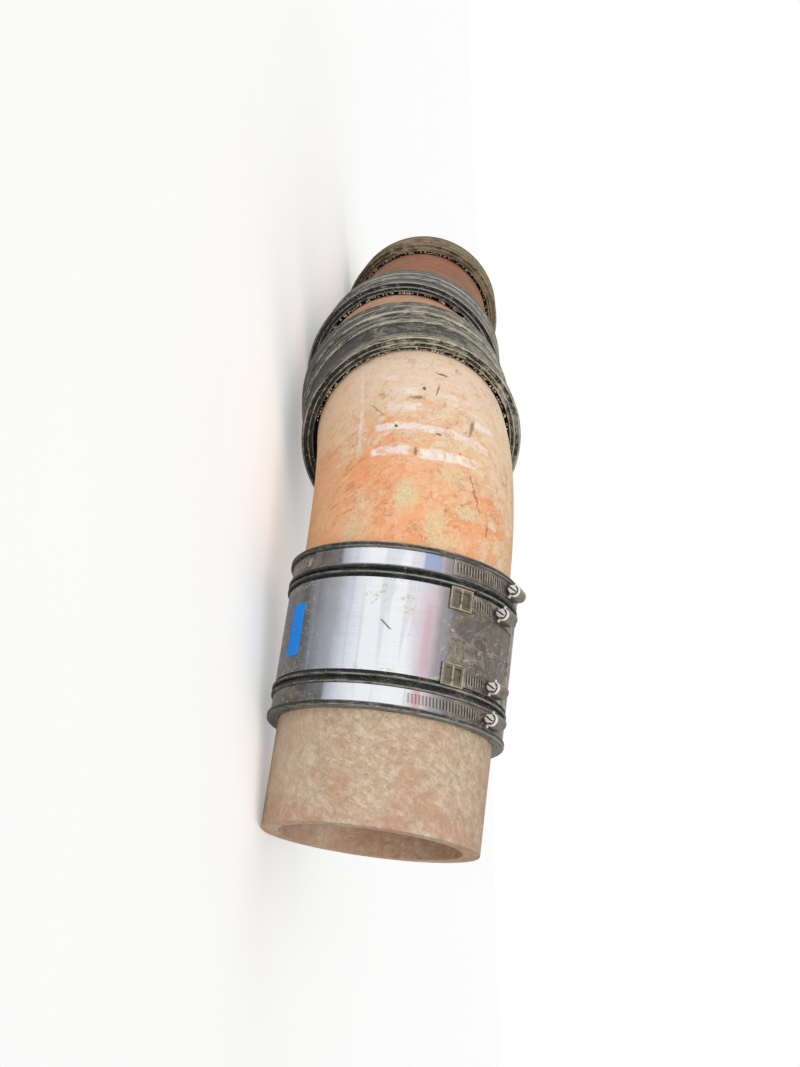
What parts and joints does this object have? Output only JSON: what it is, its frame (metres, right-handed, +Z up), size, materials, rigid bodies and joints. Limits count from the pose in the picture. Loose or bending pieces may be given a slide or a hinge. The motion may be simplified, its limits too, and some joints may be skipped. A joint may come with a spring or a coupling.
{
  "type": "clay drain pipe",
  "caption": "Run of clay drain pipe lying on its side: old pipe end, shielded rubber coupling with worm clamps, large bend, small bend and straight end in black push-fit couplings.",
  "frame": {"origin": "middle of the bounding box at the floor", "axes": "+Z up from the floor the run lies on; the old pipe end points to +X and the open socket away to -X and +Y"},
  "size_m": [0.9277, 0.828, 0.2233],
  "materials": {
    "clay": "matt fired clay, orange-pink with pale dust",
    "old_clay": "matt fired clay under dried earth",
    "black_rubber": "satin black rubber, dusty",
    "black_plastic": "black moulded plastic, dusty",
    "stainless_steel": "bright rolled stainless steel, smeared with earth"
  },
  "bodies": {
    "root": {"old_pipe_end": "old_clay", "rubber_sleeve": "black_rubber", "shear_screw_upper": "stainless_steel", "shear_screw_lower": "stainless_steel", "shear_band": "stainless_steel", "tension_band_upper": "stainless_steel", "tension_screw_upper": "stainless_steel", "tension_band_lower": "stainless_steel", "tension_screw_lower": "stainless_steel", "pipe_bend": "clay", "small_bend": "clay", "last_pipe": "clay", "coupling_1": "black_plastic", "seal_ring_1_near": "black_rubber", "seal_ring_1_far": "black_rubber", "coupling_2": "black_plastic", "seal_ring_2_near": "black_rubber", "seal_ring_2_far": "black_rubber", "coupling_3": "black_plastic", "seal_ring_3_near": "black_rubber", "seal_ring_3_far": "black_rubber"}
  },
  "joints": []
}
